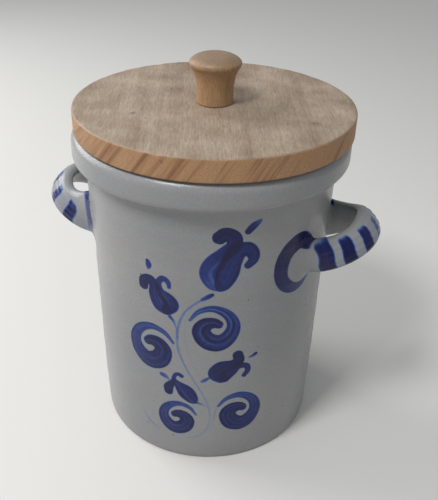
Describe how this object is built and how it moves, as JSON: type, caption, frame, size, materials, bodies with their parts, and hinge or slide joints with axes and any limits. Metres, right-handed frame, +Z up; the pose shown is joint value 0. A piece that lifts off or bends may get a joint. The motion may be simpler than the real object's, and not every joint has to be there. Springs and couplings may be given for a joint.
{
  "type": "stoneware pot with wooden lid",
  "caption": "Tall round salt-glazed stoneware pot with a rounded collar, strap handles and blue brushed flowers, closed by a loose turned wooden lid with a knob.",
  "frame": {"origin": "centre of the pot's foot, on the surface it stands on", "axes": "+Z up; the two handles lie along +X and -X; the decorated front faces -Y"},
  "size_m": [0.3389, 0.2654, 0.3933],
  "materials": {
    "stoneware": "satin salt glaze with brushed cobalt blue",
    "lid_wood": "weathered, unvarnished",
    "knob_wood": "turned, lightly worn"
  },
  "bodies": {
    "root": {"pot": "stoneware", "lid": "lid_wood", "knob": "knob_wood"}
  },
  "joints": []
}
